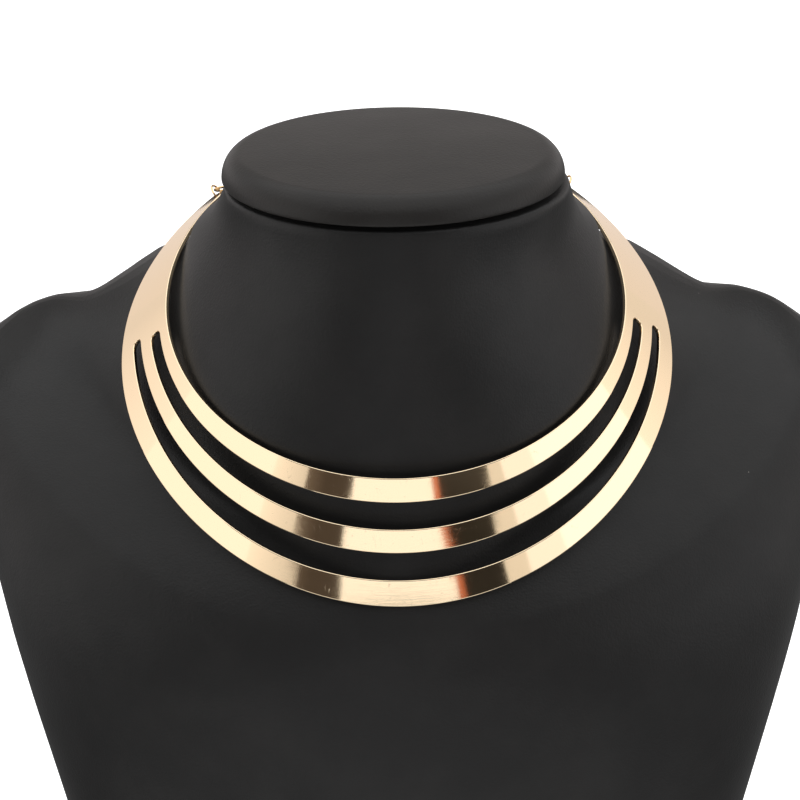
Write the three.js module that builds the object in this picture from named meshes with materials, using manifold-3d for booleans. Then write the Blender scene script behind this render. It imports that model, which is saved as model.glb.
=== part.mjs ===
// A layered choker necklace on its neck bust: a rigid collar of polished sheet metal whose front is cut
// into three bands, closed behind the neck by a short cable chain and a clasp.
// Millimetres, +Z up, the front faces -Y. The origin is the middle of the base that the bust stands on.
import * as THREE from "three";
import { mergeVertices } from "three/addons/utils/BufferGeometryUtils.js";
import Module from "manifold-3d";

const wasm = await Module();
wasm.setup();

const degree = Math.PI / 180;

// Where the centre of the collar's neck hole lies, and how the collar sits on the shoulders.
const collarSeat = { height: 244, tilt: 30.7 * degree, turn: 1.0 * degree };

// The collar is a piece of a cone. A reach is the distance of an edge from the neck hole, down the cone,
// at four angles from the front.
const collar = {
  holeRadius: 66.5,
  halfAngle: 40 * degree,
  wall: 1.2,
  tipAngle: 131.8 * degree,
  tipRound: 1.6,
  tipHoleRadius: 1.1,
  tipHoleInset: 1.9,
  stationStep: 4.5 * degree,
};
const reachAngles = [0, 45 * degree, 90 * degree, 130 * degree];
const reach = {
  neckHole: [0, 0, 0, -0.5],
  upperSlotTop: [6.9, 5.8, 3.5, 1.7],
  upperSlotBottom: [14.6, 11.3, 7.9, 10.6],
  lowerSlotTop: [21.3, 17.0, 12.7, 16.5],
  lowerSlotBottom: [29.1, 23.0, 15.8, 18.2],
  outerEdge: [36.6, 29.6, 21.2, 7.2],
};
const upperSlotEnd = 84.3 * degree;
const lowerSlotEnd = 86.7 * degree;
// How an end's rounding is stepped, and how far a cut passes the sheet.
const endTurns = [0, 20, 38, 54, 68, 80].map((turn) => turn * degree);
const cutPast = 2;

// The bust as ovals from the base up. Each oval passes a front, a side and a back point; y is positive to
// the back, and the side point is mirrored to the other side. A lean above 1 thins the front or the back
// half of the oval between those points, and one below 1 fills it out. A shift moves the oval to one side.
const bustSections = [
  { front: [-47, 0], side: [81, 0, 0], back: [47, 0], lean: [0.92, 0.92] },
  { front: [-49.5, 1], side: [83.2, 0, 1], back: [49.5, 1], lean: [0.92, 0.92] },
  { front: [-50.5, 4], side: [84.6, 0, 4], back: [50.5, 4], lean: [0.92, 0.92] },
  { front: [-57, 50], side: [94.8, 0, 55], back: [57, 50], lean: [0.92, 0.92], shift: 0.9 },
  { front: [-62.5, 95], side: [106.9, 0, 105], back: [62.5, 95], lean: [0.92, 0.92], shift: 1.2 },
  { front: [-65.2, 125], side: [117.8, 1, 153], back: [65.5, 140], lean: [0.93, 0.9], shift: 1.2 },
  { front: [-65.4, 143], side: [124.4, 8.7, 190.1], back: [66, 175], lean: [0.95, 0.88], shift: 0.8 },
  { front: [-64.9, 154], side: [126, 21, 214], back: [65.5, 195], lean: [0.99, 0.87] },
  { front: [-64.2, 161], side: [124, 30, 224.5], back: [64.5, 206], lean: [1.06, 0.87] },
  { front: [-63.2, 167], side: [119.8, 34.1, 227.4], back: [63.3, 215], lean: [1.03, 0.91], shift: 0.7 },
  { front: [-61.6, 173.5], side: [112.6, 41, 229.8], back: [62, 222], lean: [1.38, 0.98], shift: 0.5 },
  { front: [-59.2, 179.5], side: [103.3, 42.4, 232.4], back: [60.5, 228], lean: [1.37, 0.98], shift: 0.2 },
  { front: [-56.1, 187], side: [92.8, 37.1, 234.4], back: [59, 233], lean: [1.14, 0.96], shift: 0.4 },
  { front: [-54.1, 195], side: [80.3, 38.8, 241.8], back: [57.5, 238], lean: [0.9, 0.84], shift: 0.3 },
  { front: [-52.6, 204], side: [71, 38.1, 247.8], back: [56, 244.5], lean: [0.88, 0.82] },
  { front: [-51.6, 215], side: [67.1, 31, 249.8], back: [54.5, 250.5], lean: [0.75, 0.84], shift: -0.1 },
  { front: [-50.8, 228], side: [62, 17, 253], back: [53, 258], lean: [0.77, 1.04], shift: -0.1 },
  { front: [-50.1, 244], side: [58.7, 11.6, 261.2], back: [51.2, 266.5], lean: [1, 0.91] },
  { front: [-49.4, 261], side: [53.1, 7.1, 267.8], back: [49.9, 272], lean: [1.08, 0.98], shift: 0.2 },
  { front: [-49, 270], side: [50.9, 2.9, 273.5], back: [49.3, 275.2], lean: [1.05, 1.01], shift: 0.5 },
  { front: [-48.5, 277], side: [49.6, 0, 277.5], back: [48.6, 277.3], lean: [1, 1], shift: 0.8 },
  { front: [-48.1, 278.6], side: [49.1, 0, 278.7], back: [48.2, 278.7], lean: [1, 1], shift: 0.8 },
  { front: [-47, 279.1], side: [48, 0, 279.1], back: [47, 279.1], lean: [1, 1], shift: 0.8 },
];
const bustColumns = 42;
const bustStepsPerSection = 2;
const plainSections = 2;

// The padded disc on the neck: a plug in the neck's mouth, a tight lower rim, a wide soft roll over the edge
// and a slightly crowned top.
const neckCap = {
  centreX: -0.2, plugRadius: 44, plugBottom: 279.4, rimBottom: 280.7, rimRound: 0.8,
  radius: 49.1, depthShare: 1.03, rollReach: 5.8, rollHeight: 7.2, crown: 1,
  rimSteps: 2, rollSteps: 6, crownSteps: 3, columns: 36,
};

// The wire of a jump ring passes the tip's hole; the ring leans back by its swivel and stands up by its lift.
const jumpRing = { radius: 2.35, wire: 0.3, sides: 6, steps: 14, lift: 1.0, swivel: 36 * degree };
const link = { halfLength: 2.7, halfWidth: 1.8, wire: 0.4, sides: 6, steps: 12, count: 26 };
const linkGap = 0.3;
const clasp = {
  length: 10.6, headRadius: 2.5, tailRadius: 2, thickness: 0.8,
  eyeRadius: 1.35, mouthRadius: 1.3, mouthRun: 1.8, endWall: 0.75,
};

// Points that the chain passes on its way from the middle of the neck's back to the right ring, and
// the way that the middle of the neck's back faces.
const chainBends = [[0, 57.6, 253.5], [18, 55.6, 255.5], [34, 51, 260], [45, 46.8, 263.3]];
const neckFacing = new THREE.Vector3(0, 0.95, 0.3);
const facingEase = 1.6;
const routeDivisions = 800;

const gold = new THREE.MeshStandardMaterial({ color: 0xf3d9a6, roughness: 0.12, metalness: 1 });
const chainGold = new THREE.MeshStandardMaterial({ color: 0xe8c684, roughness: 0.2, metalness: 1 });
const blackLeatherette = new THREE.MeshStandardMaterial({ color: 0x26241f, roughness: 0.6, metalness: 0 });
const blackCap = new THREE.MeshStandardMaterial({ color: 0x2b2926, roughness: 0.58, metalness: 0 });

// ---- Solids ----

function closedGeometry(points, triangles) {
  const geometry = new THREE.BufferGeometry();
  geometry.setAttribute("position", new THREE.Float32BufferAttribute(points.flat(), 3));
  geometry.setIndex(triangles.flat());
  return geometry;
}

function toManifold(geometry) {
  const bare = geometry.clone();
  bare.deleteAttribute("normal");
  bare.deleteAttribute("uv");
  const merged = mergeVertices(bare, 1e-5);
  return new wasm.Manifold(new wasm.Mesh({
    numProp: 3,
    vertProperties: new Float32Array(merged.attributes.position.array),
    triVerts: new Uint32Array(merged.index.array),
  }));
}

function toGeometry(solid) {
  const mesh = solid.getMesh();
  const geometry = new THREE.BufferGeometry();
  geometry.setAttribute("position", new THREE.BufferAttribute(mesh.vertProperties, 3));
  geometry.setIndex(new THREE.BufferAttribute(mesh.triVerts, 1));
  return geometry;
}

// A closed solid through rings of points that all have the same count, with flat ends.
function loft(rings) {
  const count = rings[0].length;
  const triangles = [];
  for (let ring = 0; ring + 1 < rings.length; ring += 1) {
    for (let column = 0; column < count; column += 1) {
      const next = (column + 1) % count;
      const a = ring * count + column;
      const b = ring * count + next;
      triangles.push([a, b, b + count], [a, b + count, a + count]);
    }
  }
  const last = (rings.length - 1) * count;
  for (let column = 1; column + 1 < count; column += 1) {
    triangles.push([0, column + 1, column]);
    triangles.push([last, last + column, last + column + 1]);
  }
  return closedGeometry(rings.flat(), triangles);
}

function namedMesh(name, geometry, material) {
  const mesh = new THREE.Mesh(geometry, material);
  mesh.name = name;
  return mesh;
}

// ---- The collar ----

// A smooth reach between its named angles: a cubic in the cosine of the angle.
function reachAt(reaches, angle) {
  const nodes = reachAngles.map(Math.cos);
  const at = Math.cos(angle);
  return reaches.reduce((sum, value, i) => {
    const weight = nodes.reduce((product, node, j) => (
      i === j ? product : product * (at - node) / (nodes[i] - node)), 1);
    return sum + value * weight;
  }, 0);
}

// A point of the collar: angle from the front, reach down the cone, and depth under the polished face.
function collarPoint(angle, reachDown, depth) {
  const { holeRadius, halfAngle } = collar;
  const radius = holeRadius + reachDown * Math.sin(halfAngle) - depth * Math.cos(halfAngle);
  const z = -reachDown * Math.cos(halfAngle) - depth * Math.sin(halfAngle);
  return [radius * Math.sin(angle), -radius * Math.cos(angle), z];
}

// Angles from one end of a patch to the other, closer together round its ends, each with the share of the
// end's rounding that narrows the patch there.
function patchStations(endAngle, endRound) {
  const roundSpan = endRound / collar.holeRadius;
  const roundStart = endAngle - roundSpan;
  const half = [];
  for (let angle = 0; angle < roundStart; angle += collar.stationStep) {
    half.push({ angle, narrowing: 0 });
  }
  for (const turn of endTurns) {
    half.push({ angle: roundStart + roundSpan * Math.sin(turn), narrowing: 1 - Math.cos(turn) });
  }
  const mirrored = half.slice(1).reverse().map((station) => ({ ...station, angle: -station.angle }));
  return [...mirrored, ...half];
}

// A curved plate between two edges of the cone, from one depth under the polished face to another.
function collarPatch(topEdge, bottomEdge, endAngle, endRound, outerDepth, innerDepth) {
  const rings = patchStations(endAngle, endRound).map(({ angle, narrowing }) => {
    const top = reachAt(topEdge, angle) + endRound * narrowing;
    const bottom = reachAt(bottomEdge, angle) - endRound * narrowing;
    return [
      collarPoint(angle, top, outerDepth),
      collarPoint(angle, bottom, outerDepth),
      collarPoint(angle, bottom, innerDepth),
      collarPoint(angle, top, innerDepth),
    ];
  });
  return toManifold(loft(rings));
}

// The place of a tip's hole: its centre on the middle of the wall, and its directions in the collar's frame.
function tipFrame(side) {
  const angle = side * (collar.tipAngle - collar.tipHoleInset / collar.holeRadius);
  const reachDown = reachAt(reach.outerEdge, collar.tipAngle) / 2;
  const centre = new THREE.Vector3(...collarPoint(angle, reachDown, collar.wall / 2));
  const outwards = new THREE.Vector3(
    Math.cos(collar.halfAngle) * Math.sin(angle),
    -Math.cos(collar.halfAngle) * Math.cos(angle),
    Math.sin(collar.halfAngle),
  );
  const along = new THREE.Vector3(side * Math.cos(angle), side * Math.sin(angle), 0);
  return { centre, outwards, along };
}

function tipHole(side) {
  const { centre, outwards } = tipFrame(side);
  const { tipHoleRadius, wall } = collar;
  const cutter = new THREE.CylinderGeometry(tipHoleRadius, tipHoleRadius, wall + 2 * cutPast, 12);
  cutter.applyQuaternion(new THREE.Quaternion().setFromUnitVectors(new THREE.Vector3(0, 1, 0), outwards));
  cutter.translate(centre.x, centre.y, centre.z);
  return toManifold(cutter);
}

// A slot with half-round ends, cut right through the sheet.
function slot(topEdge, bottomEdge, endAngle) {
  const halfWidth = (reachAt(bottomEdge, endAngle) - reachAt(topEdge, endAngle)) / 2;
  return collarPatch(topEdge, bottomEdge, endAngle, halfWidth, -cutPast, collar.wall + cutPast);
}

function makeCollar() {
  const { tipAngle, tipRound, wall } = collar;
  const solid = collarPatch(reach.neckHole, reach.outerEdge, tipAngle, tipRound, 0, wall)
    .subtract(slot(reach.upperSlotTop, reach.upperSlotBottom, upperSlotEnd))
    .subtract(slot(reach.lowerSlotTop, reach.lowerSlotBottom, lowerSlotEnd))
    .subtract(tipHole(-1))
    .subtract(tipHole(1));
  return namedMesh("collar", toGeometry(solid), gold);
}

// The collar's frame in the world: turned on its own axis, then tipped down at the front.
function collarMatrix() {
  const place = new THREE.Matrix4().makeTranslation(0, 0, collarSeat.height);
  const tilt = new THREE.Matrix4().makeRotationX(collarSeat.tilt);
  const turn = new THREE.Matrix4().makeRotationZ(collarSeat.turn);
  return place.multiply(tilt).multiply(turn);
}

// ---- Rings, chain and clasp ----

// A closed loop of round wire: two half circles joined by straight runs, long axis X, in the XY plane.
function wireLoop({ halfLength, halfWidth, wire, sides, steps }) {
  const rings = [];
  for (let step = 0; step < steps; step += 1) {
    const turn = ((step + 0.5) / steps) * 2 * Math.PI;
    const cos = Math.cos(turn);
    const sin = Math.sin(turn);
    const endCentre = Math.sign(cos) * (halfLength - halfWidth);
    const ring = [];
    for (let side = 0; side < sides; side += 1) {
      const round = (side / sides) * 2 * Math.PI;
      const out = halfWidth + wire * Math.cos(round);
      ring.push([endCentre + out * cos, out * sin, wire * Math.sin(round)]);
    }
    rings.push(ring);
  }
  const triangles = [];
  for (let step = 0; step < steps; step += 1) {
    const nextStep = (step + 1) % steps;
    for (let side = 0; side < sides; side += 1) {
      const nextSide = (side + 1) % sides;
      const a = step * sides + side;
      const b = step * sides + nextSide;
      const c = nextStep * sides + nextSide;
      const d = nextStep * sides + side;
      triangles.push([a, d, c], [a, c, b]);
    }
  }
  return closedGeometry(rings.flat(), triangles);
}

// A named mesh with its X along one direction and its Z as near as it can be to another.
function placedMesh(name, geometry, centre, along, facing) {
  const mesh = namedMesh(name, geometry, chainGold);
  const x = along.clone().normalize();
  const z = facing.clone().addScaledVector(x, -facing.dot(x)).normalize();
  const y = new THREE.Vector3().crossVectors(z, x);
  const turned = new THREE.Matrix4().makeBasis(x, y, z);
  mesh.quaternion.setFromRotationMatrix(turned);
  mesh.position.copy(centre);
  return mesh;
}

// How a ring stands in a tip's hole: its centre, the way it leans back, and the way it faces. The wire
// passes the middle of the hole.
function ringSeat(side) {
  const matrix = collarMatrix();
  const tip = tipFrame(side);
  const hole = tip.centre.applyMatrix4(matrix);
  const outwards = tip.outwards.transformDirection(matrix);
  const along = tip.along.transformDirection(matrix);
  const across = new THREE.Vector3().crossVectors(outwards, along).multiplyScalar(-side);
  const back = along.multiplyScalar(Math.cos(jumpRing.swivel));
  back.addScaledVector(across, Math.sin(jumpRing.swivel));
  const reachBack = Math.sqrt(jumpRing.radius ** 2 - jumpRing.lift ** 2);
  const centre = hole.addScaledVector(back, reachBack).addScaledVector(outwards, jumpRing.lift);
  return { centre, back, outwards };
}

function makeJumpRing(name, seat) {
  const { radius } = jumpRing;
  const geometry = wireLoop({ ...jumpRing, halfLength: radius, halfWidth: radius });
  const facing = new THREE.Vector3().crossVectors(seat.outwards, seat.back);
  return placedMesh(name, geometry, seat.centre, seat.back, facing);
}

// Where a piece of some radius hangs inside the upper back of a ring.
function hangPoint(seat, hangingRadius) {
  const fromCentre = jumpRing.radius - jumpRing.wire - linkGap - hangingRadius;
  const upperBack = seat.back.clone().add(seat.outwards).normalize();
  return seat.centre.clone().addScaledVector(upperBack, fromCentre);
}

// A plain closed hook: a drop-shaped plate with an eye for the chain and a long mouth for the ring.
function claspGeometry() {
  const { length, headRadius, tailRadius, eyeRadius, mouthRadius, mouthRun, endWall, thickness } = clasp;
  const head = length - headRadius;
  const tangent = Math.acos((tailRadius - headRadius) / (head - tailRadius));
  const outline = new THREE.Shape();
  outline.absarc(head, 0, headRadius, -tangent, tangent, false);
  outline.absarc(tailRadius, 0, tailRadius, tangent, 2 * Math.PI - tangent, false);
  outline.closePath();
  const mouthEnd = length - endWall - mouthRadius;
  const mouth = new THREE.Path();
  mouth.absarc(mouthEnd, 0, mouthRadius, -Math.PI / 2, Math.PI / 2, false);
  mouth.absarc(mouthEnd - mouthRun, 0, mouthRadius, Math.PI / 2, 1.5 * Math.PI, false);
  mouth.closePath();
  const eye = new THREE.Path();
  eye.absarc(tailRadius, 0, eyeRadius, 0, 2 * Math.PI, false);
  outline.holes.push(mouth, eye);
  const plate = new THREE.ExtrudeGeometry(outline, {
    depth: thickness, bevelEnabled: false, curveSegments: 12,
  });
  plate.translate(0, 0, -thickness / 2);
  return toGeometry(toManifold(plate));
}

// The way of the chain from the left ring round the back of the neck to the right ring.
function chainRoute(leftSeat, rightSeat) {
  const start = hangPoint(leftSeat, link.wire);
  const end = hangPoint(rightSeat, Math.hypot(clasp.endWall, clasp.thickness) / 2);
  const rightHalf = chainBends.map(([x, y, z]) => new THREE.Vector3(x, y, z));
  const leftHalf = rightHalf.slice(1).reverse().map(({ x, y, z }) => new THREE.Vector3(-x, y, z));
  const points = [start, ...leftHalf, ...rightHalf, end];
  return new THREE.CatmullRomCurve3(points, false, "centripetal");
}

// Links hang in one another, every second one turned edge on to the neck.
function makeChain(leftSeat, rightSeat) {
  const route = chainRoute(leftSeat, rightSeat);
  route.arcLengthDivisions = routeDivisions;
  const total = route.getLength();
  const eyeSlack = clasp.eyeRadius - link.wire - linkGap;
  const claspRun = clasp.length - clasp.endWall / 2 - clasp.tailRadius + eyeSlack;
  const chainRun = total - claspRun;
  const pitch = (chainRun - 2 * link.halfLength) / (link.count - 1);
  const facingAt = (share) => {
    const tipFacing = share < 0.5 ? leftSeat.outwards : rightSeat.outwards;
    const turned = Math.sin(Math.PI * share) ** facingEase;
    return tipFacing.clone().multiplyScalar(1 - turned).addScaledVector(neckFacing, turned).normalize();
  };
  const geometry = wireLoop(link);
  const chain = [];
  for (let i = 0; i < link.count; i += 1) {
    const from = route.getPointAt((i * pitch) / total);
    const to = route.getPointAt((i * pitch + 2 * link.halfLength) / total);
    const along = to.clone().sub(from).normalize();
    const facing = facingAt((i * pitch + link.halfLength) / total);
    if (i % 2 === 1) facing.cross(along);
    const name = `chain_link_${String(i + 1).padStart(2, "0")}`;
    chain.push(placedMesh(name, geometry, from.add(to).divideScalar(2), along, facing));
  }
  const eye = route.getPointAt(chainRun / total);
  const towardsRing = route.getPointAt(1).sub(eye).normalize();
  const tail = eye.addScaledVector(towardsRing, eyeSlack - clasp.tailRadius);
  chain.push(placedMesh("clasp", claspGeometry(), tail, towardsRing, facingAt(chainRun / total)));
  return chain;
}

// ---- The bust ----

// Catmull-Rom between four numbers.
function smoothBetween(before, from, to, after, share) {
  const a = -before / 2 + (3 * from) / 2 - (3 * to) / 2 + after / 2;
  const b = before - (5 * from) / 2 + 2 * to - after / 2;
  const c = (to - before) / 2;
  return ((a * share + b) * share + c) * share + from;
}

// The named sections with smooth ones between them.
function denseSections() {
  const flat = bustSections.map(({ front, side, back, lean, shift = 0 }) => (
    [...front, ...side, ...back, ...lean, shift]));
  const clamp = (i) => flat[Math.min(Math.max(i, 0), flat.length - 1)];
  const sections = [];
  for (let i = 0; i + 1 < flat.length; i += 1) {
    const steps = i < plainSections || i + 1 + plainSections >= flat.length ? 1 : bustStepsPerSection;
    for (let step = 0; step < steps; step += 1) {
      sections.push(flat[i].map((value, column) => smoothBetween(
        clamp(i - 1)[column], value, clamp(i + 1)[column], clamp(i + 2)[column], step / steps)));
    }
  }
  sections.push(flat[flat.length - 1]);
  return sections;
}

// One oval: its front half and back half are half ellipses that meet at the side points.
function ovalRing([frontY, frontZ, sideX, sideY, sideZ, backY, backZ, frontLean, backLean, shift]) {
  const ring = [];
  for (let column = 0; column < bustColumns; column += 1) {
    const angle = (column / bustColumns) * 2 * Math.PI;
    const isFront = Math.cos(angle) > 0;
    const [endY, endZ] = isFront ? [frontY, frontZ] : [backY, backZ];
    const lean = isFront ? frontLean : backLean;
    const sideways = Math.sign(Math.sin(angle)) * Math.abs(Math.sin(angle)) ** lean;
    const endways = Math.abs(Math.cos(angle)) ** lean;
    ring.push([sideX * sideways + shift, sideY + (endY - sideY) * endways, sideZ + (endZ - sideZ) * endways]);
  }
  return ring;
}

function makeBust() {
  return namedMesh("bust_body", loft(denseSections().map(ovalRing)), blackLeatherette);
}

// The padded disc: a turned profile from the plug up over the roll to the crown.
function makeNeckCap() {
  const {
    centreX, plugRadius, plugBottom, rimBottom, rimRound, radius, depthShare, rollReach, rollHeight, crown,
    rimSteps, rollSteps, crownSteps, columns,
  } = neckCap;
  const profile = [[0, plugBottom], [plugRadius, plugBottom], [plugRadius, rimBottom]];
  const rimTop = rimBottom + rimRound;
  const rollEnd = radius - rollReach;
  const rollTop = rimTop + rollHeight;
  for (let step = 0; step <= rimSteps; step += 1) {
    const turn = (step / rimSteps) * (Math.PI / 2);
    profile.push([radius - rimRound * (1 - Math.sin(turn)), rimTop - rimRound * Math.cos(turn)]);
  }
  for (let step = 1; step <= rollSteps; step += 1) {
    const turn = (step / rollSteps) * (Math.PI / 2);
    profile.push([rollEnd + rollReach * Math.cos(turn), rimTop + rollHeight * Math.sin(turn)]);
  }
  for (let step = crownSteps - 1; step >= 0; step -= 1) {
    const share = step / crownSteps;
    profile.push([rollEnd * share, rollTop + crown * (1 - share ** 2)]);
  }
  const points = profile.map(([out, up]) => new THREE.Vector2(out, up));
  const turned = new THREE.LatheGeometry(points, columns).rotateX(Math.PI / 2);
  turned.scale(1, depthShare, 1).translate(centreX, 0, 0);
  return namedMesh("neck_cap", toGeometry(toManifold(turned)), blackCap);
}

const leftSeat = ringSeat(-1);
const rightSeat = ringSeat(1);
const collarMesh = makeCollar();
collarMesh.applyMatrix4(collarMatrix());

const necklaceOnBust = new THREE.Group();
necklaceOnBust.add(
  makeBust(),
  makeNeckCap(),
  collarMesh,
  makeJumpRing("jump_ring_left", leftSeat),
  makeJumpRing("jump_ring_right", rightSeat),
  ...makeChain(leftSeat, rightSeat),
);

export default necklaceOnBust;
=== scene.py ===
import math

import bpy
import numpy as np
from mathutils import Matrix, Vector


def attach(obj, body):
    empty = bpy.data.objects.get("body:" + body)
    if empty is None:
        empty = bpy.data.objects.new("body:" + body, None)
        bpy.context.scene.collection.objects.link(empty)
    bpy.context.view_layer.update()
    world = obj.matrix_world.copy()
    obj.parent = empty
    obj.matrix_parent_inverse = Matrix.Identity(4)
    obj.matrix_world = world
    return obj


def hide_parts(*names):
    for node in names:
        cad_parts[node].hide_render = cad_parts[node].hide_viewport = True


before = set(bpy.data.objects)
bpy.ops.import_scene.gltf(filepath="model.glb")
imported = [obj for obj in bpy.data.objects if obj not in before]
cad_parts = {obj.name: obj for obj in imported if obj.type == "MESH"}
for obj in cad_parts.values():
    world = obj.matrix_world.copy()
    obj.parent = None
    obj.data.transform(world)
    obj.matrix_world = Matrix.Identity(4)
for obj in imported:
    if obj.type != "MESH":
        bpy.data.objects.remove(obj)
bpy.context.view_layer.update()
print("stage: frame loaded")

mm = 0.001
root = "root"


# ---- small helpers ----

def deselectAll():
    if bpy.context.object and bpy.context.object.mode != "OBJECT":
        bpy.ops.object.mode_set(mode="OBJECT")
    bpy.ops.object.select_all(action="DESELECT")


def pickOnly(piece):
    deselectAll()
    piece.select_set(True)
    bpy.context.view_layer.objects.active = piece


def applyAll(piece):
    pickOnly(piece)
    for modifier in list(piece.modifiers):
        bpy.ops.object.modifier_apply(modifier=modifier.name)


def inEditMode(piece, steps):
    pickOnly(piece)
    bpy.ops.object.mode_set(mode="EDIT")
    bpy.ops.mesh.select_all(action="SELECT")
    steps()
    bpy.ops.object.mode_set(mode="OBJECT")


def pickFaces(piece, isChosen):
    # into edit mode with just these faces selected
    pickOnly(piece)
    bpy.context.tool_settings.mesh_select_mode = (False, False, True)
    for face in piece.data.polygons:
        face.select = isChosen(face)
    bpy.ops.object.mode_set(mode="EDIT")


def pickVertices(piece, isChosen):
    pickOnly(piece)
    bpy.context.tool_settings.mesh_select_mode = (True, False, False)
    for part in (piece.data.polygons, piece.data.edges):
        for item in part:
            item.select = False
    for vertex in piece.data.vertices:
        vertex.select = isChosen(vertex.co)
    bpy.ops.object.mode_set(mode="EDIT")


def dress(piece, material):
    piece.data.materials.clear()
    piece.data.materials.append(material)
    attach(piece, root)


def copyOfNode(node, name):
    # a loose copy of the solid, its triangles joined up and paired into quads
    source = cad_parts[node]
    piece = bpy.data.objects.new(name, source.data.copy())
    bpy.context.scene.collection.objects.link(piece)
    piece.data.name = name

    def join():
        bpy.ops.mesh.remove_doubles(threshold=0.01 * mm)
        flatEnough = math.radians(70)
        bpy.ops.mesh.tris_convert_to_quads(face_threshold=flatEnough, shape_threshold=flatEnough)
        bpy.ops.mesh.normals_make_consistent(inside=False)
    inEditMode(piece, join)
    if piece.data.has_custom_normals:
        bpy.ops.mesh.customdata_custom_splitnormals_clear()
    return piece


# ---- material helpers ----

def newMaterial(name):
    material = bpy.data.materials.new(name)
    material.use_nodes = True
    tree = material.node_tree
    return material, tree, tree.nodes["Principled BSDF"]


def addNode(tree, kind, settings=None, sockets=None):
    node = tree.nodes.new(kind)
    for key, value in (settings or {}).items():
        setattr(node, key, value)
    for key, value in (sockets or {}).items():
        node.inputs[key].default_value = value
    return node


def linkUp(tree, fromNode, output, toNode, entry):
    tree.links.new(fromNode.outputs[output], toNode.inputs[entry])


def addRamp(tree, stops):
    ramp = tree.nodes.new("ShaderNodeValToRGB")
    elements = ramp.color_ramp.elements
    elements[0].position, elements[0].color = stops[0]
    elements[1].position, elements[1].color = stops[-1]
    for position, colour in stops[1:-1]:
        element = elements.new(position)
        element.color = colour
    return ramp


# ---- leatherette over the bust ----

leatherLook = {
    "colour": (0.0036, 0.0034, 0.0034, 1),
    "wornColour": (0.0062, 0.0058, 0.0056, 1),
    "roughness": 0.45,
    "specular": 0.29,
    "sheenWeight": 0.04,
    "grainPerMetre": 1500,
    "grainDepth": 0.00012,
    "softFoldsPerMetre": 26,
    "softFoldDepth": 0.0016,
    "dustPerMetre": 75,
}


def makeLeather(name, look):
    material, tree, shader = newMaterial(name)
    shader.inputs["Specular IOR Level"].default_value = look["specular"]
    shader.inputs["Sheen Weight"].default_value = look["sheenWeight"]
    shader.inputs["Sheen Roughness"].default_value = 0.4
    place = addNode(tree, "ShaderNodeTexCoord")

    # pebbled grain: small cells with softer noise between them
    cells = addNode(tree, "ShaderNodeTexVoronoi", {"feature": "SMOOTH_F1"},
                    {"Scale": look["grainPerMetre"], "Smoothness": 0.35, "Randomness": 0.9})
    linkUp(tree, place, "Object", cells, "Vector")
    pores = addNode(tree, "ShaderNodeTexNoise", {},
                    {"Scale": look["grainPerMetre"] * 0.6, "Detail": 3, "Roughness": 0.55})
    linkUp(tree, place, "Object", pores, "Vector")
    grain = addNode(tree, "ShaderNodeMath", {"operation": "MULTIPLY_ADD"}, {1: 0.6})
    linkUp(tree, cells, "Distance", grain, 0)
    linkUp(tree, pores, "Fac", grain, 2)

    # slow unevenness of the core under the skin
    folds = addNode(tree, "ShaderNodeTexNoise", {},
                    {"Scale": look["softFoldsPerMetre"], "Detail": 1.5, "Roughness": 0.4,
                     "Distortion": 0.3})
    linkUp(tree, place, "Object", folds, "Vector")
    foldBump = addNode(tree, "ShaderNodeBump", {}, {"Strength": 0.22, "Distance": look["softFoldDepth"]})
    linkUp(tree, folds, "Fac", foldBump, "Height")
    grainBump = addNode(tree, "ShaderNodeBump", {}, {"Strength": 0.5, "Distance": look["grainDepth"]})
    linkUp(tree, grain, "Value", grainBump, "Height")
    linkUp(tree, foldBump, "Normal", grainBump, "Normal")
    linkUp(tree, grainBump, "Normal", shader, "Normal")

    # handling marks: patches a little lighter and glossier than the rest
    marks = addNode(tree, "ShaderNodeTexNoise", {}, {"Scale": 38, "Detail": 5, "Roughness": 0.62})
    linkUp(tree, place, "Object", marks, "Vector")
    markSpread = addRamp(tree, [(0.40, (0, 0, 0, 1)), (0.66, (1, 1, 1, 1))])
    linkUp(tree, marks, "Fac", markSpread, "Fac")
    skin = addNode(tree, "ShaderNodeMix", {"data_type": "RGBA"})
    skin.inputs[6].default_value = look["colour"]
    skin.inputs[7].default_value = look["wornColour"]
    linkUp(tree, markSpread, "Color", skin, 0)

    # a few specks of dust
    specks = addNode(tree, "ShaderNodeTexVoronoi", {}, {"Scale": look["dustPerMetre"], "Randomness": 1.0})
    linkUp(tree, place, "Object", specks, "Vector")
    tiny = addNode(tree, "ShaderNodeMath", {"operation": "LESS_THAN"}, {1: 0.016})
    linkUp(tree, specks, "Distance", tiny, 0)
    colourSplit = addNode(tree, "ShaderNodeSeparateColor")
    linkUp(tree, specks, "Color", colourSplit, "Color")
    chosen = addNode(tree, "ShaderNodeMath", {"operation": "GREATER_THAN"}, {1: 0.55})
    linkUp(tree, colourSplit, "Red", chosen, 0)
    dust = addNode(tree, "ShaderNodeMath", {"operation": "MULTIPLY"})
    linkUp(tree, tiny, "Value", dust, 0)
    linkUp(tree, chosen, "Value", dust, 1)
    dusty = addNode(tree, "ShaderNodeMix", {"data_type": "RGBA"})
    linkUp(tree, dust, "Value", dusty, 0)
    linkUp(tree, skin, 2, dusty, 6)
    dusty.inputs[7].default_value = (0.20, 0.19, 0.18, 1)
    linkUp(tree, dusty, 2, shader, "Base Color")

    gloss = addNode(tree, "ShaderNodeMapRange", {},
                    {"To Min": look["roughness"] + 0.04, "To Max": look["roughness"] - 0.04})
    linkUp(tree, marks, "Fac", gloss, "Value")
    linkUp(tree, gloss, "Result", shader, "Roughness")
    return material


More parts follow.
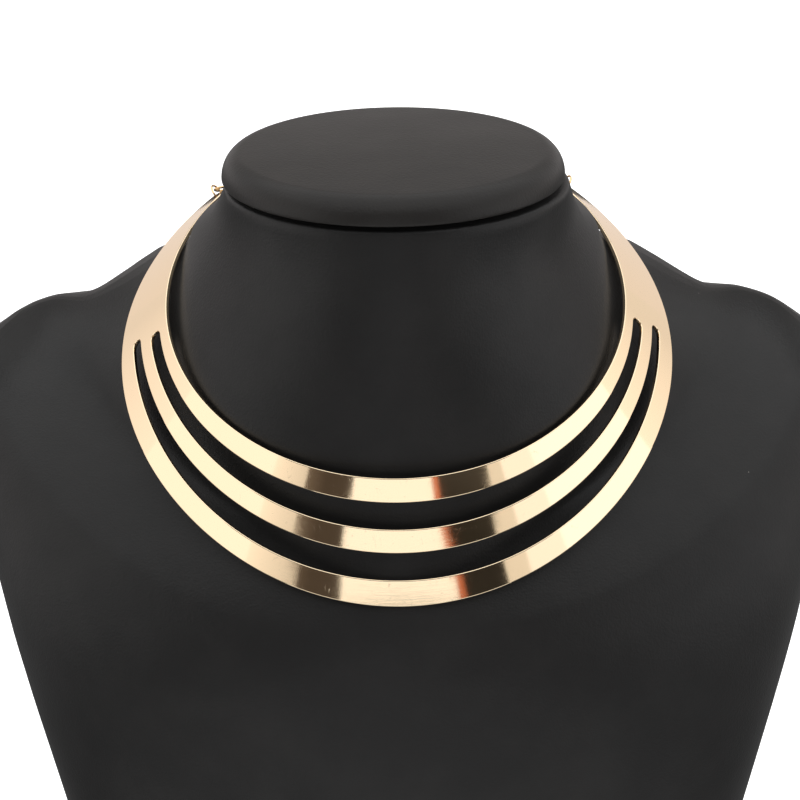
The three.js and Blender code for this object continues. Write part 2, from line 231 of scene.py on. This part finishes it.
bustShape = {
    "base": 0.0, "neckTop": 279.1, "finerCuts": 2,
    "chestRise": 0.64, "chestFront": -64, "baseRound": 6,
    "smoothing": ({"below": 163, "beyond": 0, "times": 40}, {"below": 188, "beyond": 45, "times": 12}),
    "smoothIn": 0.5, "smoothOut": -0.52,
    "skinFrom": 5, "skinTo": 275, "skinEvening": 140,
}


def makeBust():
    leather = makeLeather("blackLeatherette", leatherLook)
    bust = copyOfNode("bust_body", "bust_skin")

    def isFlatEnd(face):
        heights = [bust.data.vertices[v].co.z for v in face.vertices]
        ends = (bustShape["base"] * mm, bustShape["neckTop"] * mm)
        return any(max(abs(z - end) for z in heights) < 0.02 * mm for end in ends)

    # the flat ends come off while the wall between them is made finer and rounder
    pickFaces(bust, isFlatEnd)
    bpy.ops.mesh.delete(type="FACE")
    bpy.ops.mesh.select_all(action="SELECT")
    bpy.ops.mesh.subdivide(number_cuts=bustShape["finerCuts"], smoothness=1.0)
    bpy.ops.mesh.select_mode(type="EDGE")
    bpy.ops.mesh.select_all(action="DESELECT")
    bpy.ops.mesh.select_non_manifold()
    bpy.ops.mesh.fill_holes(sides=0)
    bpy.ops.mesh.select_all(action="SELECT")
    bpy.ops.mesh.normals_make_consistent(inside=False)
    bpy.ops.object.mode_set(mode="OBJECT")
    # the stretched skin evens out the chest and shoulders; the collar's seat keeps its shape
    for area in bustShape["smoothing"]:
        def isCovered(co):
            level = co.z / mm - bustShape["chestRise"] * (co.y / mm - bustShape["chestFront"])
            inArea = level < area["below"] and abs(co.x / mm) > area["beyond"]
            return inArea and co.z / mm > bustShape["baseRound"]
        pickVertices(bust, isCovered)
        for step in range(area["times"]):
            bpy.ops.mesh.vertices_smooth(factor=bustShape["smoothIn"])
            bpy.ops.mesh.vertices_smooth(factor=bustShape["smoothOut"])
        bpy.ops.object.mode_set(mode="OBJECT")
    # nothing hangs below the flat base
    pickVertices(bust, lambda co: co.z < bustShape["base"])
    bpy.ops.transform.resize(value=(1, 1, 0), center_override=(0, 0, bustShape["base"]))
    bpy.ops.object.mode_set(mode="OBJECT")
    bpy.ops.object.shade_smooth_by_angle(angle=math.radians(50))
    # the stretched skin hides small steps of the form in its shading
    low, high = bustShape["skinFrom"], bustShape["skinTo"]
    pickVertices(bust, lambda co: low < co.z / mm < high)
    for step in range(bustShape["skinEvening"]):
        bpy.ops.mesh.smooth_normals(factor=0.5)
    bpy.ops.object.mode_set(mode="OBJECT")
    dress(bust, leather)
    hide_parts("bust_body")
    return bust


bustSkin = makeBust()
print("stage: bust")


# ---- the padded cap on the neck ----

capLook = dict(leatherLook, colour=(0.0062, 0.0050, 0.0042, 1), wornColour=(0.0088, 0.0072, 0.0060, 1))
capShape = {
    "centreX": -0.2, "plugRadius": 44, "plugBottom": 279.4, "rimBottom": 280.7, "rimRound": 0.8,
    "radius": 49.1, "depthShare": 1.03, "rollReach": 5.8, "rollHeight": 7.2, "crown": 1.0, "steps": 128,
    "fill": 0.95,
}


def capProfile():
    # out from the axis and up: plug, tight lower rim, wide soft roll, crowned top
    shape = capShape
    profile = [(0, shape["plugBottom"]), (shape["plugRadius"], shape["plugBottom"]),
               (shape["plugRadius"], shape["rimBottom"])]
    rimTop = shape["rimBottom"] + shape["rimRound"]
    rollEnd = shape["radius"] - shape["rollReach"]
    for degrees in range(0, 91, 15):
        turn = math.radians(degrees)
        profile.append((shape["radius"] - shape["rimRound"] * (1 - math.sin(turn)),
                        rimTop - shape["rimRound"] * math.cos(turn)))
    for degrees in range(5, 91, 5):
        turn = math.radians(degrees)
        profile.append((rollEnd + shape["rollReach"] * math.cos(turn),
                        rimTop + shape["rollHeight"] * math.sin(turn)))
    for step in range(9, -1, -1):
        share = step / 10
        profile.append((rollEnd * share,
                        rimTop + shape["rollHeight"] + shape["crown"] * (1 - share * share)))
    return profile


def makeCap():
    leather = makeLeather("capLeatherette", capLook)
    middle = Vector((capShape["centreX"], 0, 0)) * mm
    points = [middle + Vector((out, 0, up)) * mm for out, up in capProfile()]
    mesh = bpy.data.meshes.new("neck_cap_pad")
    mesh.from_pydata(points, [(i, i + 1) for i in range(len(points) - 1)], [])
    cap = bpy.data.objects.new("neck_cap_pad", mesh)
    bpy.context.scene.collection.objects.link(cap)

    def turnProfile():
        bpy.ops.mesh.spin(steps=capShape["steps"], angle=2 * math.pi, center=middle, axis=(0, 0, 1))
        bpy.ops.mesh.select_all(action="SELECT")
        bpy.ops.transform.resize(value=(1, capShape["depthShare"], 1), center_override=middle)
        bpy.ops.mesh.remove_doubles(threshold=0.01 * mm)
        bpy.ops.mesh.normals_make_consistent(inside=False)
    inEditMode(cap, turnProfile)
    bpy.ops.object.shade_smooth_by_angle(angle=math.radians(50))
    dress(cap, leather)
    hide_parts("neck_cap")
    return cap


neckCap = makeCap()
print("stage: neck cap")


# ---- the collar: a piece of a cone of sheet metal with two long slots ----

collarShape = {
    "height": 244, "tilt": 30.7, "turn": 1.0,
    "holeRadius": 66.5, "halfAngle": 40, "wall": 1.2,
    "tipAngle": 131.8, "tipRound": 1.6, "tipHoleRadius": 1.1, "tipHoleInset": 1.9,
    "slotEnds": (84.3, 86.7),
    "stationStep": 1.0, "rowsPerBand": 4,
    "rimRound": 0.3, "rimSteps": 3,
}
reachAngles = (0, 45, 90, 130)
# distance of each edge from the neck hole, down the cone, at those angles
reaches = {
    "neckHole": (0, 0, 0, -0.5),
    "upperSlotTop": (6.9, 5.8, 3.5, 1.7),
    "upperSlotBottom": (14.6, 11.3, 7.9, 10.6),
    "lowerSlotTop": (21.3, 17.0, 12.7, 16.5),
    "lowerSlotBottom": (29.1, 23.0, 15.8, 18.2),
    "outerEdge": (36.6, 29.6, 21.2, 7.2),
}


def reachAt(edgeName, angle):
    nodes = [math.cos(math.radians(a)) for a in reachAngles]
    at = math.cos(math.radians(angle))
    total = 0
    for i, value in enumerate(reaches[edgeName]):
        weight = 1
        for j, node in enumerate(nodes):
            if j != i:
                weight *= (at - node) / (nodes[i] - node)
        total += value * weight
    return total


def slotShare(angle, slotEnd, halfWidth):
    # 1 along the slot, falling to 0 round its half-round end
    span = math.degrees(halfWidth / collarShape["holeRadius"])
    along = (abs(angle) - (slotEnd - span)) / span
    return 1.0 if along <= 0 else math.sqrt(max(0.0, 1 - along * along))


def slotEdges(angle, top, bottom, slotEnd, restShare):
    # the two edges of a slot; past its end both run on along one line towards the tip
    halfEnd = (reachAt(bottom, slotEnd) - reachAt(top, slotEnd)) / 2
    share = slotShare(angle, slotEnd, halfEnd)
    if abs(angle) <= slotEnd:
        middle = (reachAt(top, angle) + reachAt(bottom, angle)) / 2
        half = (reachAt(bottom, angle) - reachAt(top, angle)) / 2 * share
        return middle - half, middle + half
    endMiddle = (reachAt(top, slotEnd) + reachAt(bottom, slotEnd)) / 2
    endShare = endMiddle / reachAt("outerEdge", slotEnd)
    blend = (abs(angle) - slotEnd) / (collarShape["tipAngle"] - slotEnd)
    blend = blend * blend * (3 - 2 * blend)
    middle = reachAt("outerEdge", angle) * (endShare + (restShare - endShare) * blend)
    return middle, middle


def roundEnd(end, halfWidth):
    # angles that close up round an end, and the span that they cover
    span = math.degrees(halfWidth / collarShape["holeRadius"])
    return span, [end - span + span * math.sin(math.radians(turn)) for turn in range(0, 91, 10)]


def collarStations():
    step = collarShape["stationStep"]
    tipSpan, tip = roundEnd(collarShape["tipAngle"], collarShape["tipRound"])
    half = [i * step for i in range(int((collarShape["tipAngle"] - tipSpan) / step))] + tip[:-1]
    for slotEnd, top, bottom in zip(collarShape["slotEnds"], ("upperSlotTop", "lowerSlotTop"),
                                    ("upperSlotBottom", "lowerSlotBottom")):
        span, ends = roundEnd(slotEnd, (reachAt(bottom, slotEnd) - reachAt(top, slotEnd)) / 2)
        half = [a for a in half if not slotEnd - span - 0.3 < a < slotEnd + 0.3] + ends
    kept = []
    for angle in sorted(half):
        if not kept or angle - kept[-1] > 0.02:
            kept.append(angle)
    return [-a for a in reversed(kept[1:])] + kept


def tipNarrowing(angle):
    # how far the sheet's two long edges draw in towards a tip's rounded corners
    tipRound = collarShape["tipRound"]
    span = math.degrees(tipRound / collarShape["holeRadius"])
    along = max(0.0, (abs(angle) - collarShape["tipAngle"] + span) / span)
    return tipRound * (1 - math.sqrt(max(0.0, 1 - along * along)))


def collarMatrix():
    return (Matrix.Translation((0, 0, collarShape["height"] * mm))
            @ Matrix.Rotation(math.radians(collarShape["tilt"]), 4, "X")
            @ Matrix.Rotation(math.radians(collarShape["turn"]), 4, "Z"))


def conePoint(angle, reach, depth=0.0):
    half = math.radians(collarShape["halfAngle"])
    turn = math.radians(angle)
    radius = collarShape["holeRadius"] + reach * math.sin(half) - depth * math.cos(half)
    z = -reach * math.cos(half) - depth * math.sin(half)
    return Vector((radius * math.sin(turn), -radius * math.cos(turn), z)) * mm


def makeCollarSheet():
    stations = collarStations()
    rows = collarShape["rowsPerBand"]
    count = 3 * rows + 2  # three bands and the two slots between them
    deselectAll()
    bpy.ops.mesh.primitive_grid_add(x_subdivisions=len(stations) - 1, y_subdivisions=count, size=2)
    sheet = bpy.context.object
    sheet.name = sheet.data.name = "collar_sheet"
    mesh = sheet.data
    places = {}
    for vertex in mesh.vertices:
        column = round((vertex.co.x + 1) / 2 * (len(stations) - 1))
        row = round((vertex.co.y + 1) / 2 * count)
        places[vertex.index] = (column, row)
    bands = []
    upperEnd, lowerEnd = collarShape["slotEnds"]
    for angle in stations:
        drawnIn = tipNarrowing(angle)
        bands.append((reachAt("neckHole", angle) + drawnIn,
                      *slotEdges(angle, "upperSlotTop", "upperSlotBottom", upperEnd, 1 / 3),
                      *slotEdges(angle, "lowerSlotTop", "lowerSlotBottom", lowerEnd, 2 / 3),
                      reachAt("outerEdge", angle) - drawnIn))
    spots = {}
    for index, (column, row) in places.items():
        band, step = min(row // (rows + 1), 2), row % (rows + 1)
        if row == count:
            band, step = 2, rows
        start, end = bands[column][2 * band], bands[column][2 * band + 1]
        spots[index] = (stations[column], start + (end - start) * step / rows)
    uv = mesh.uv_layers.active.data
    for face in mesh.polygons:
        for loop in face.loop_indices:
            angle, reach = spots[mesh.loops[loop].vertex_index]
            uv[loop].uv = (math.radians(angle) * collarShape["holeRadius"] * mm, reach * mm)
    # the slot strips go, then each point takes its place on the cone
    pickFaces(sheet, lambda face: min(places[v][1] for v in face.vertices) in (rows, 2 * rows + 1))
    bpy.ops.mesh.delete(type="ONLY_FACE")
    bpy.ops.object.mode_set(mode="OBJECT")
    for vertex in mesh.vertices:
        vertex.co = conePoint(*spots[vertex.index])
    inEditMode(sheet, lambda: bpy.ops.mesh.remove_doubles(threshold=0.002 * mm))
    return sheet


def makeTipHole(side):
    inset = math.degrees(collarShape["tipHoleInset"] / collarShape["holeRadius"])
    angle = side * (collarShape["tipAngle"] - inset)
    middle = reachAt("outerEdge", collarShape["tipAngle"]) / 2
    centre = conePoint(angle, middle, collarShape["wall"] / 2)
    outwards = conePoint(angle, middle, -1) - conePoint(angle, middle, 0)
    deselectAll()
    bpy.ops.mesh.primitive_cylinder_add(vertices=32, radius=collarShape["tipHoleRadius"] * mm,
                                        depth=6 * mm)
    cutter = bpy.context.object
    turned = Vector((0, 0, 1)).rotation_difference(outwards).to_matrix().to_4x4()
    cutter.data.transform(Matrix.Translation(centre) @ turned)
    return cutter


def makeCollar(metal):
    collar = makeCollarSheet()
    normalCheck = collar.data.polygons[0]
    outwards = Vector((normalCheck.center.x, normalCheck.center.y, 0.05))
    if normalCheck.normal.dot(outwards) < 0:
        inEditMode(collar, lambda: bpy.ops.mesh.flip_normals())
    wall = collar.modifiers.new("wall", "SOLIDIFY")
    wall.thickness = collarShape["wall"] * mm
    wall.offset = -1
    wall.use_even_offset = True
    rim = collar.modifiers.new("rim", "BEVEL")
    rim.width = collarShape["rimRound"] * mm
    rim.segments = collarShape["rimSteps"]
    rim.limit_method, rim.angle_limit = "ANGLE", math.radians(50)
    rim.use_clamp_overlap = False
    applyAll(collar)
    for side in (-1, 1):
        cutter = makeTipHole(side)
        hole = collar.modifiers.new("tipHole", "BOOLEAN")
        hole.operation, hole.solver, hole.object = "DIFFERENCE", "EXACT", cutter
        applyAll(collar)
        bpy.data.objects.remove(cutter)
    collar.data.transform(collarMatrix())
    pickOnly(collar)
    # the face stays flat across up to its rim, and runs on smoothly round the neck
    bpy.ops.object.shade_smooth_by_angle(angle=math.radians(12))
    dress(collar, metal)
    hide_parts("collar")
    return collar


goldLook = {
    "colour": (1.0, 0.80, 0.545, 1),
    "roughness": 0.05,
    "hairlineRoughness": 0.085,
    "scratchRoughness": 0.3,
    "dustPerMetre": 520, "dustStrength": 0.8,
}


def makeGold(name, look, alongBands):
    material, tree, shader = newMaterial(name)
    shader.inputs["Metallic"].default_value = 1.0
    shader.inputs["Base Color"].default_value = look["colour"]
    place = addNode(tree, "ShaderNodeTexCoord")
    spread = addNode(tree, "ShaderNodeMapping")
    spread.inputs["Scale"].default_value = (60, 5200, 1) if alongBands else (900, 900, 900)
    linkUp(tree, place, "UV" if alongBands else "Object", spread, "Vector")
    hairlines = addNode(tree, "ShaderNodeTexNoise", {}, {"Scale": 1.0, "Detail": 3, "Roughness": 0.6})
    linkUp(tree, spread, "Vector", hairlines, "Vector")
    # crossing scratches: thin lines where a winding noise passes its middle
    lines = None
    for scale, turn in ((170, 0.0), (230, 2.1)):
        turned = addNode(tree, "ShaderNodeMapping")
        turned.inputs["Rotation"].default_value = (turn, turn * 0.7, turn * 1.3)
        turned.inputs["Scale"].default_value = (1, 1, 0.25)
        linkUp(tree, place, "Object", turned, "Vector")
        winding = addNode(tree, "ShaderNodeTexNoise", {},
                          {"Scale": scale, "Detail": 1, "Roughness": 0.4, "Distortion": 1.2})
        linkUp(tree, turned, "Vector", winding, "Vector")
        fromMiddle = addNode(tree, "ShaderNodeMath", {"operation": "SUBTRACT"}, {1: 0.5})
        linkUp(tree, winding, "Fac", fromMiddle, 0)
        size = addNode(tree, "ShaderNodeMath", {"operation": "ABSOLUTE"})
        linkUp(tree, fromMiddle, "Value", size, 0)
        thin = addNode(tree, "ShaderNodeMapRange", {},
                       {"From Min": 0.0, "From Max": 0.006, "To Min": 1.0, "To Max": 0.0})
        linkUp(tree, size, "Value", thin, "Value")
        if lines is None:
            lines = thin
        else:
            both = addNode(tree, "ShaderNodeMath", {"operation": "MAXIMUM"})
            linkUp(tree, lines, 0, both, 0)
            linkUp(tree, thin, 0, both, 1)
            lines = both
    # scratches come and go over the surface
    patches = addNode(tree, "ShaderNodeTexNoise", {}, {"Scale": 260, "Detail": 2})
    linkUp(tree, place, "Object", patches, "Vector")
    where = addNode(tree, "ShaderNodeMapRange", {}, {"From Min": 0.54, "From Max": 0.68})
    linkUp(tree, patches, "Fac", where, "Value")
    scratch = addNode(tree, "ShaderNodeMath", {"operation": "MULTIPLY"})
    linkUp(tree, lines, 0, scratch, 0)
    linkUp(tree, where, "Result", scratch, 1)
    # fine dust that lies on the polish
    dots = addNode(tree, "ShaderNodeTexVoronoi", {}, {"Scale": look["dustPerMetre"], "Randomness": 1.0})
    linkUp(tree, place, "Object", dots, "Vector")
    tiny = addNode(tree, "ShaderNodeMapRange", {},
                   {"From Min": 0.05, "From Max": 0.09, "To Min": look["dustStrength"], "To Max": 0.0})
    linkUp(tree, dots, "Distance", tiny, "Value")
    spoilt = addNode(tree, "ShaderNodeMath", {"operation": "MAXIMUM"})
    linkUp(tree, scratch, "Value", spoilt, 0)
    linkUp(tree, tiny, "Result", spoilt, 1)
    base = addNode(tree, "ShaderNodeMapRange", {},
                   {"From Min": 0.35, "From Max": 0.7,
                    "To Min": look["roughness"], "To Max": look["hairlineRoughness"]})
    linkUp(tree, hairlines, "Fac", base, "Value")
    rough = addNode(tree, "ShaderNodeMix", {"data_type": "FLOAT"}, {3: look["scratchRoughness"]})
    linkUp(tree, spoilt, "Value", rough, 0)
    linkUp(tree, base, "Result", rough, 2)
    linkUp(tree, rough, 0, shader, "Roughness")
    relief = addNode(tree, "ShaderNodeBump", {}, {"Strength": 0.12, "Distance": 0.00002})
    linkUp(tree, hairlines, "Fac", relief, "Height")
    linkUp(tree, relief, "Normal", shader, "Normal")
    return material


polishedGold = makeGold("polishedGold", goldLook, True)
collar = makeCollar(polishedGold)
print("stage: collar")


# ---- rings, chain and clasp behind the neck ----

findings = {
    "ringRadius": 2.35, "ringWire": 0.3,
    "linkHalfLength": 2.7, "linkHalfWidth": 1.8, "linkWire": 0.4, "linkCount": 26,
    "claspRim": 0.22,
}
findingsGold = makeGold("findingsGold", dict(goldLook, colour=(0.93, 0.66, 0.36, 1), roughness=0.13), False)


def nodeAxes(node):
    # the middle of a small solid, its long way and the way that it faces
    points = [v.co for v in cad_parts[node].data.vertices]
    centre = sum(points, Vector()) / len(points)
    spread = [[sum((p - centre)[i] * (p - centre)[j] for p in points) for j in range(3)] for i in range(3)]
    values, vectors = np.linalg.eigh(np.array(spread))
    long, thin = Vector(vectors[:, 2]), Vector(vectors[:, 0])
    return centre, long.normalized(), thin.normalized()


def placeLike(model, node, name, metal):
    centre, long, thin = nodeAxes(node)
    side = thin.cross(long)
    turned = Matrix((long, side, thin)).transposed().to_4x4()
    piece = bpy.data.objects.new(name, model.data.copy())
    piece.data.name = name
    bpy.context.scene.collection.objects.link(piece)
    piece.data.transform(Matrix.Translation(centre) @ turned)
    dress(piece, metal)
    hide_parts(node)
    return piece


def makeLoopModel(halfLength, halfWidth, wire, around, across):
    # a wire ring, its two halves drawn apart to make the straight sides
    deselectAll()
    bpy.ops.mesh.primitive_torus_add(major_segments=around, minor_segments=across,
                                     major_radius=halfWidth * mm, minor_radius=wire * mm)
    model = bpy.context.object
    stretch = (halfLength - halfWidth) * mm
    for vertex in model.data.vertices:
        if stretch and abs(vertex.co.x) > 1e-7:
            vertex.co.x += math.copysign(stretch, vertex.co.x)
    bpy.ops.object.shade_smooth()
    return model


ringModel = makeLoopModel(findings["ringRadius"], findings["ringRadius"], findings["ringWire"], 48, 12)
for side in ("left", "right"):
    placeLike(ringModel, f"jump_ring_{side}", f"ring_{side}", findingsGold)
bpy.data.objects.remove(ringModel)

linkModel = makeLoopModel(findings["linkHalfLength"], findings["linkHalfWidth"], findings["linkWire"],
                          40, 10)
for number in range(1, findings["linkCount"] + 1):
    placeLike(linkModel, f"chain_link_{number:02d}", f"link_{number:02d}", findingsGold)
bpy.data.objects.remove(linkModel)

clasp = copyOfNode("clasp", "clasp_hook")
rim = clasp.modifiers.new("rim", "BEVEL")
rim.width, rim.segments = findings["claspRim"] * mm, 3
rim.limit_method, rim.angle_limit = "ANGLE", math.radians(50)
pickOnly(clasp)
bpy.ops.object.shade_smooth()
evenLight = clasp.modifiers.new("evenLight", "WEIGHTED_NORMAL")
applyAll(clasp)
dress(clasp, findingsGold)
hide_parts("clasp")
print("stage: rings, chain and clasp")


# ---- floor, light and camera ----

studio = {
    "wallGlow": 0.83, "ceilingGlow": 1.5, "wallTop": 0.4, "ceilingFrom": 0.7, "cameraSky": 1.0,
    "floorColour": (0.9, 0.9, 0.9, 1), "floorGlow": 0.55, "floorSize": 12.0,
    "boxTop": 600, "windowTop": 400, "windowFoot": 90, "roomTop": 900,
    "backFoot": 185, "backFrom": 330, "roomGlow": 0.07,
}


def makeFloor():
    deselectAll()
    bpy.ops.mesh.primitive_plane_add(size=studio["floorSize"], location=(0, 0, 0))
    floor = bpy.context.object
    floor.name = "floor"
    material, tree, shader = newMaterial("paleFloor")
    shader.inputs["Base Color"].default_value = studio["floorColour"]
    shader.inputs["Roughness"].default_value = 0.9
    shader.inputs["Specular IOR Level"].default_value = 0.1
    shader.inputs["Emission Color"].default_value = (1, 1, 1, 1)
    shader.inputs["Emission Strength"].default_value = studio["floorGlow"]
    floor.data.materials.append(material)


def makeCard(name, corners, colour, strength, fade=None):
    # a card seen only by what is glossy: corners go round its outline;
    # a fade names an axis, where along it the card starts and ends, and its strength there
    mesh = bpy.data.meshes.new(name)
    mesh.from_pydata([Vector(c) * mm for c in corners], [], [list(range(len(corners)))])
    card = bpy.data.objects.new(name, mesh)
    bpy.context.scene.collection.objects.link(card)
    material = bpy.data.materials.new(name)
    material.use_nodes = True
    tree = material.node_tree
    tree.nodes.clear()
    glow = addNode(tree, "ShaderNodeEmission", {}, {"Color": colour, "Strength": strength})
    output = addNode(tree, "ShaderNodeOutputMaterial")
    linkUp(tree, glow, "Emission", output, "Surface")
    if fade:
        axis, start, end, endStrength = fade
        place = addNode(tree, "ShaderNodeTexCoord")
        split = addNode(tree, "ShaderNodeSeparateXYZ")
        linkUp(tree, place, "Object", split, "Vector")
        spread = addNode(tree, "ShaderNodeMapRange", {},
                         {"From Min": start * mm, "From Max": end * mm,
                          "To Min": strength, "To Max": endStrength})
        linkUp(tree, split, axis, spread, "Value")
        linkUp(tree, spread, "Result", glow, "Strength")
    mesh.materials.append(material)
    card.visible_camera = card.visible_diffuse = card.visible_shadow = False
    card.visible_transmission = card.visible_volume_scatter = False
    return card


def makeStudio():
    world = bpy.data.worlds.new("studio")
    bpy.context.scene.world = world
    world.use_nodes = True
    tree = world.node_tree
    sky = tree.nodes["Background"]
    sky.inputs["Color"].default_value = (1, 1, 1, 1)
    # bright walls all round, a brighter ceiling above them
    way = addNode(tree, "ShaderNodeTexCoord")
    split = addNode(tree, "ShaderNodeSeparateXYZ")
    linkUp(tree, way, "Generated", split, "Vector")
    rise = addNode(tree, "ShaderNodeMapRange", {"interpolation_type": "SMOOTHSTEP"},
                   {"From Min": studio["wallTop"], "From Max": studio["ceilingFrom"],
                    "To Min": studio["wallGlow"], "To Max": studio["ceilingGlow"]})
    linkUp(tree, split, "Z", rise, "Value")
    linkUp(tree, rise, "Result", sky, "Strength")
    bright = addNode(tree, "ShaderNodeBackground", {},
                     {"Color": (1, 1, 1, 1), "Strength": studio["cameraSky"]})
    seen = addNode(tree, "ShaderNodeLightPath")
    choose = addNode(tree, "ShaderNodeMixShader")
    linkUp(tree, seen, "Is Camera Ray", choose, 0)
    linkUp(tree, sky, "Background", choose, 1)
    linkUp(tree, bright, "Background", choose, 2)
    linkUp(tree, choose, "Shader", tree.nodes["World Output"], "Surface")

    front = -1000
    # edges of the cards in front, as (x, z) downwards: the three bands mirror them at the middle heights
    top, foot = studio["windowTop"], studio["windowFoot"]
    leftInner = ((-291, top), (-291, 168), (-338, 143), (-305, 112), (-305, foot))
    leftOuter = ((-660, top), (-660, 199), (-683, 173), (-581, 133), (-581, foot))
    warmInner = ((215, top), (215, 164), (249, 138), (304, 112), (304, foot))
    rightInner = tuple((x + 42, z) for x, z in warmInner)
    rightOuter = ((656, top), (656, 198), (594, 163), (615, 136), (615, foot))

    def strip(name, inner, outer, colour, strength, fade=None):
        corners = [(x, front, z) for x, z in inner + tuple(reversed(outer))]
        makeCard(name, corners, colour, strength, fade)

    def upright(x):
        return ((x, top), (x, foot))

    strip("darkLeft", leftInner, leftOuter, (1.0, 0.80, 0.66, 1), 0.068, ("X", -500, -690, 0.15))
    strip("darkRight", rightInner, rightOuter, (1.0, 0.90, 0.80, 1), 0.024, ("Z", 158, 186, 0.058))
    strip("warmEdge", warmInner, rightInner, (1.0, 0.30, 0.15, 1), 0.62)
    strip("frontWindow", leftInner, warmInner, (1, 0.99, 0.99, 1), 1.16)
    strip("leftStep", leftOuter, upright(-1040), (1, 0.95, 0.91, 1), 0.72, ("X", -600, -1040, 1.1))
    strip("rightStep", rightOuter, upright(800), (1, 0.95, 0.90, 1), 0.84)
    for name, low, high in (("underWindow", 0, foot), ("overWindow", top, studio["roomTop"])):
        makeCard(name, [(-1040, front, low), (800, front, low), (800, front, high), (-1040, front, high)],
                 (1, 1, 1, 1), studio["roomGlow"])

    # softboxes at both sides, the dark room beyond the table in front, and the table behind
    def wall(name, start, end, colour, strength, fade=None, low=0):
        high = studio["boxTop"]
        makeCard(name, [(*start, low), (*end, low), (*end, high), (*start, high)], colour, strength, fade)
        if low:
            lowCorners = [(*start, 0), (*end, 0), (*end, low), (*start, low)]
            makeCard(name + "Foot", lowCorners, (1, 1, 1, 1), studio["roomGlow"])

    def mat(name, left, right, near, far, strength, fade=None):
        corners = [(left, near, 2), (right, near, 2), (right, far, 2), (left, far, 2)]
        makeCard(name, corners, (1, 1, 1, 1), strength, fade)

    backFoot, backFrom = studio["backFoot"], studio["backFrom"]

    wall("leftBox", (-1040, -1000), (-1040, 0), (1, 0.985, 0.97, 1), 1.18)
    for name, near, far, low in (("Side", 0, backFrom, 0), ("Back", backFrom, 1050, backFoot)):
        wall("left" + name, (-1040, near), (-1040, far), (1, 0.94, 0.93, 1), 1.12, ("Y", 0, 900, 0.82), low)
        wall("right" + name, (1100, near), (1100, far), (1, 0.94, 0.91, 1), 1.2, ("Y", -60, 800, 0.82), low)
    wall("rightBoxFront", (800, -1000), (1100, -900), (1, 0.99, 1.0, 1), 1.12)
    wall("rightBox", (1100, -900), (1100, 0), (1, 0.99, 1.0, 1), 1.36)
    wall("backWall", (-1040, 1050), (1100, 1050), (1, 0.93, 0.92, 1), 0.84, None, backFoot)
    mat("darkFront", -400, 400, -995, -700, 0.03)
    mat("nearTable", -250, 250, -700, -60, 0.68, ("Y", -120, -600, 1.3))
    mat("underBust", -250, 250, -60, backFrom, 0.1)
    mat("leftTable", -1030, -250, -995, backFrom, 0.22, ("X", -480, -1030, 1.25))
    mat("rightTable", 250, 1090, -995, backFrom, 0.22, ("X", 480, 1090, 1.25))
    mat("dimBack", -1030, 1090, backFrom, 1040, 0.06)
    makeCard("dimRoom", [(-900, 1050, 480), (900, 1050, 480), (900, 1050, 1150), (-900, 1050, 1150)],
             (1, 0.86, 0.76, 1), 0.175)


makeFloor()
makeStudio()

cameraShape = {
    "lens": 155.475, "sensor": 36.0, "place": (0.83, -949.83, 558.16), "pitch": 70.0, "roll": -0.81,
}
cameraData = bpy.data.cameras.new("camera")
cameraData.lens = cameraShape["lens"]
cameraData.sensor_width = cameraShape["sensor"]
camera = bpy.data.objects.new("camera", cameraData)
bpy.context.scene.collection.objects.link(camera)
camera.matrix_world = (Matrix.Translation(Vector(cameraShape["place"]) * mm)
                       @ Matrix.Rotation(math.radians(cameraShape["pitch"]), 4, "X")
                       @ Matrix.Rotation(math.radians(cameraShape["roll"]), 4, "Z"))
bpy.context.scene.camera = camera
bpy.context.scene.view_settings.view_transform = "Standard"
print("stage: floor, light and camera")
